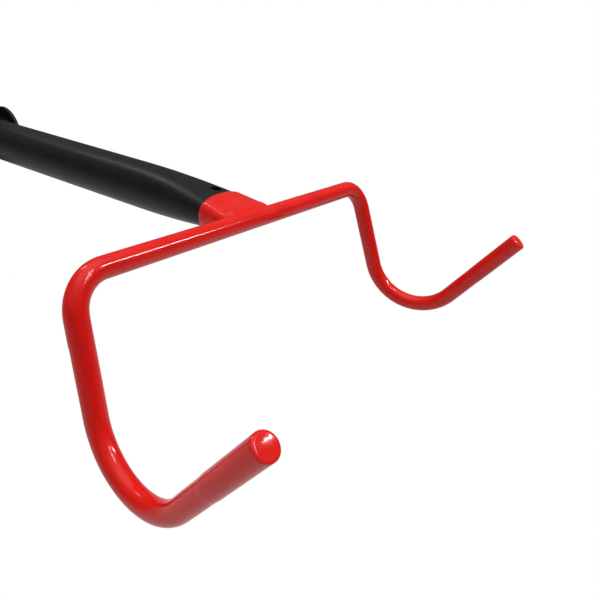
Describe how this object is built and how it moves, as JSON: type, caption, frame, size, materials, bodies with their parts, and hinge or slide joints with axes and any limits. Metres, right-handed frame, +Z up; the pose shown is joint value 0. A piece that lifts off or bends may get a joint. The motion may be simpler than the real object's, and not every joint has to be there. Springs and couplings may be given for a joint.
{
  "type": "folding wall bicycle hanger",
  "caption": "Fold-up steel arm on a wall bracket, ending in a wide cradle of dip-coated J hooks that hold a bicycle by its top tube.",
  "frame": {"origin": "centre of the wall plate's back face, on the wall and level with the arm's axis", "axes": "+X along the crossbar of the cradle, +Y into the wall (the arm points along -Y), +Z up"},
  "size_m": [0.2976, 0.4761, 0.1658],
  "materials": {
    "black_powder": "semi-gloss black powder coat",
    "red_dip": "glossy red dipped vinyl",
    "bare_steel": "plain steel under the coating",
    "zinc_steel": "bright zinc plate",
    "black_nylon": "black nylon",
    "nut_nylon": "blue nylon",
    "plug_plastic": "black moulded plastic",
    "pad_rubber": "matt black rubber"
  },
  "bodies": {
    "bracket": {"wall_plate": "black_powder", "ear_left": "black_powder", "ear_right": "black_powder", "ear_weld_left": "black_powder", "ear_weld_right": "black_powder", "heel_pad": "pad_rubber", "pivot_bolt": "zinc_steel", "head_washer": "zinc_steel", "nut_washer": "zinc_steel", "lock_nut": "zinc_steel", "nut_insert": "nut_nylon", "nylon_washer_left": "black_nylon", "nylon_washer_right": "black_nylon"},
    "arm": {"arm_tube": "black_powder", "pivot_sleeve": "bare_steel", "sleeve_weld_left": "black_powder", "sleeve_weld_right": "black_powder", "end_plug": "plug_plastic", "cradle_rod": "bare_steel", "mouth_weld_top": "bare_steel", "mouth_weld_bottom": "bare_steel", "cradle_coating": "red_dip", "mouth_coating": "red_dip"}
  },
  "joints": [
    {"name": "arm_fold", "type": "hinge", "parent": "bracket", "child": "arm", "pos_m": [0, -0.05, 0], "axis": [-1, 0, 0], "range_deg": [0, 97]}
  ]
}
